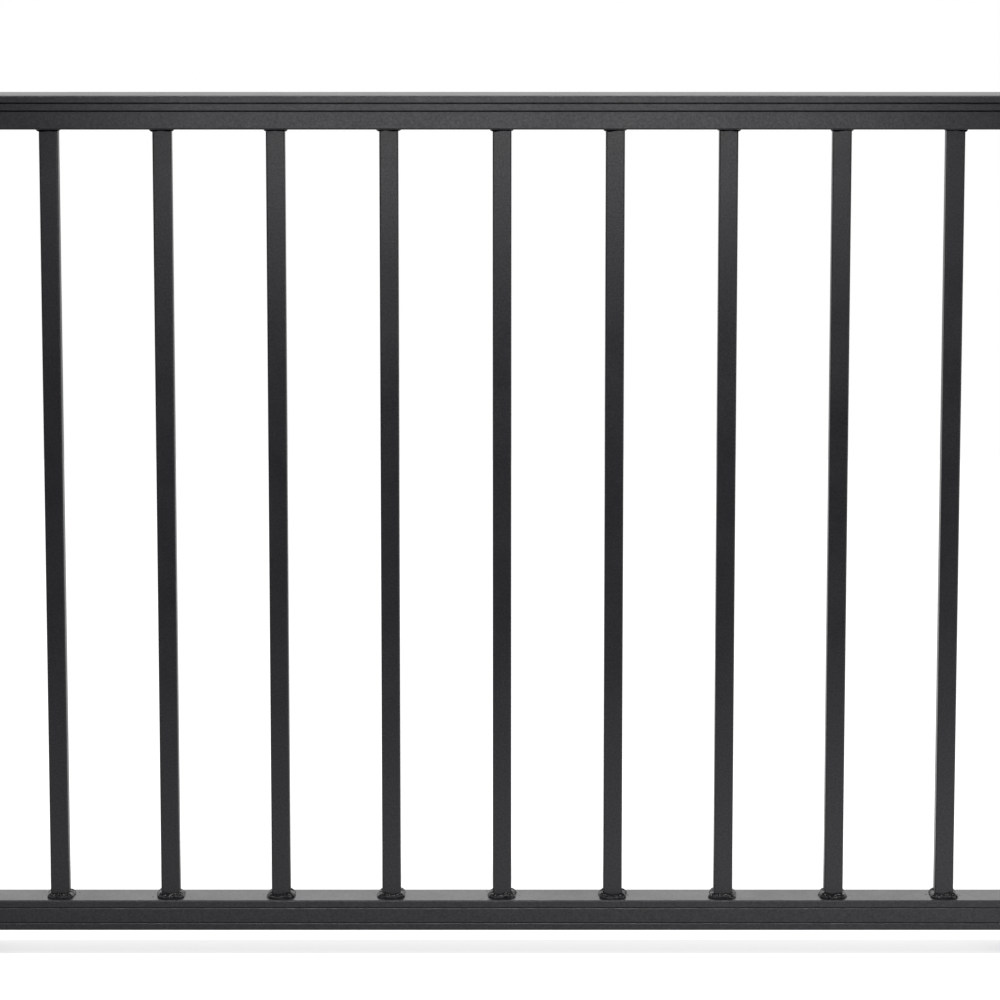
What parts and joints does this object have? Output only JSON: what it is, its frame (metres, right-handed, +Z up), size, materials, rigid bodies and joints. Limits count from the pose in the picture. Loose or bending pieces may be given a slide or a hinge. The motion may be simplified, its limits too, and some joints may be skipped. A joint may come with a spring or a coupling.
{
  "type": "deck railing section",
  "caption": "welded steel railing section for a deck or porch, with square balusters between two grooved rails and a screw flange on each rail end",
  "frame": {"origin": "the middle of the outer face of the lower left flange, which is level with the middle of the bottom rail", "axes": "+X runs along the rails from the left flange to the right one, -Y is the side that the picture shows, and +Z is up along the balusters"},
  "size_m": [1.0768, 0.0572, 0.9146],
  "materials": {
    "powder_coat": "satin black powder coat with a fine texture on rolled steel tube",
    "coated_weld": "the same black coat, smoother and glossier where it flowed over the ripples of the weld bead"
  },
  "bodies": {
    "root": {"top_rail": "powder_coat", "bottom_rail": "powder_coat", "baluster_01": "powder_coat", "baluster_02": "powder_coat", "baluster_03": "powder_coat", "baluster_04": "powder_coat", "baluster_05": "powder_coat", "baluster_06": "powder_coat", "baluster_07": "powder_coat", "baluster_08": "powder_coat", "baluster_09": "powder_coat", "baluster_welds_01": "coated_weld", "baluster_welds_02": "coated_weld", "baluster_welds_03": "coated_weld", "baluster_welds_04": "coated_weld", "baluster_welds_05": "coated_weld", "baluster_welds_06": "coated_weld", "baluster_welds_07": "coated_weld", "baluster_welds_08": "coated_weld", "baluster_welds_09": "coated_weld", "flange_top_left": "powder_coat", "flange_top_right": "powder_coat", "flange_bottom_left": "powder_coat", "flange_bottom_right": "powder_coat", "flange_welds_left": "coated_weld", "flange_welds_right": "coated_weld"}
  },
  "joints": []
}
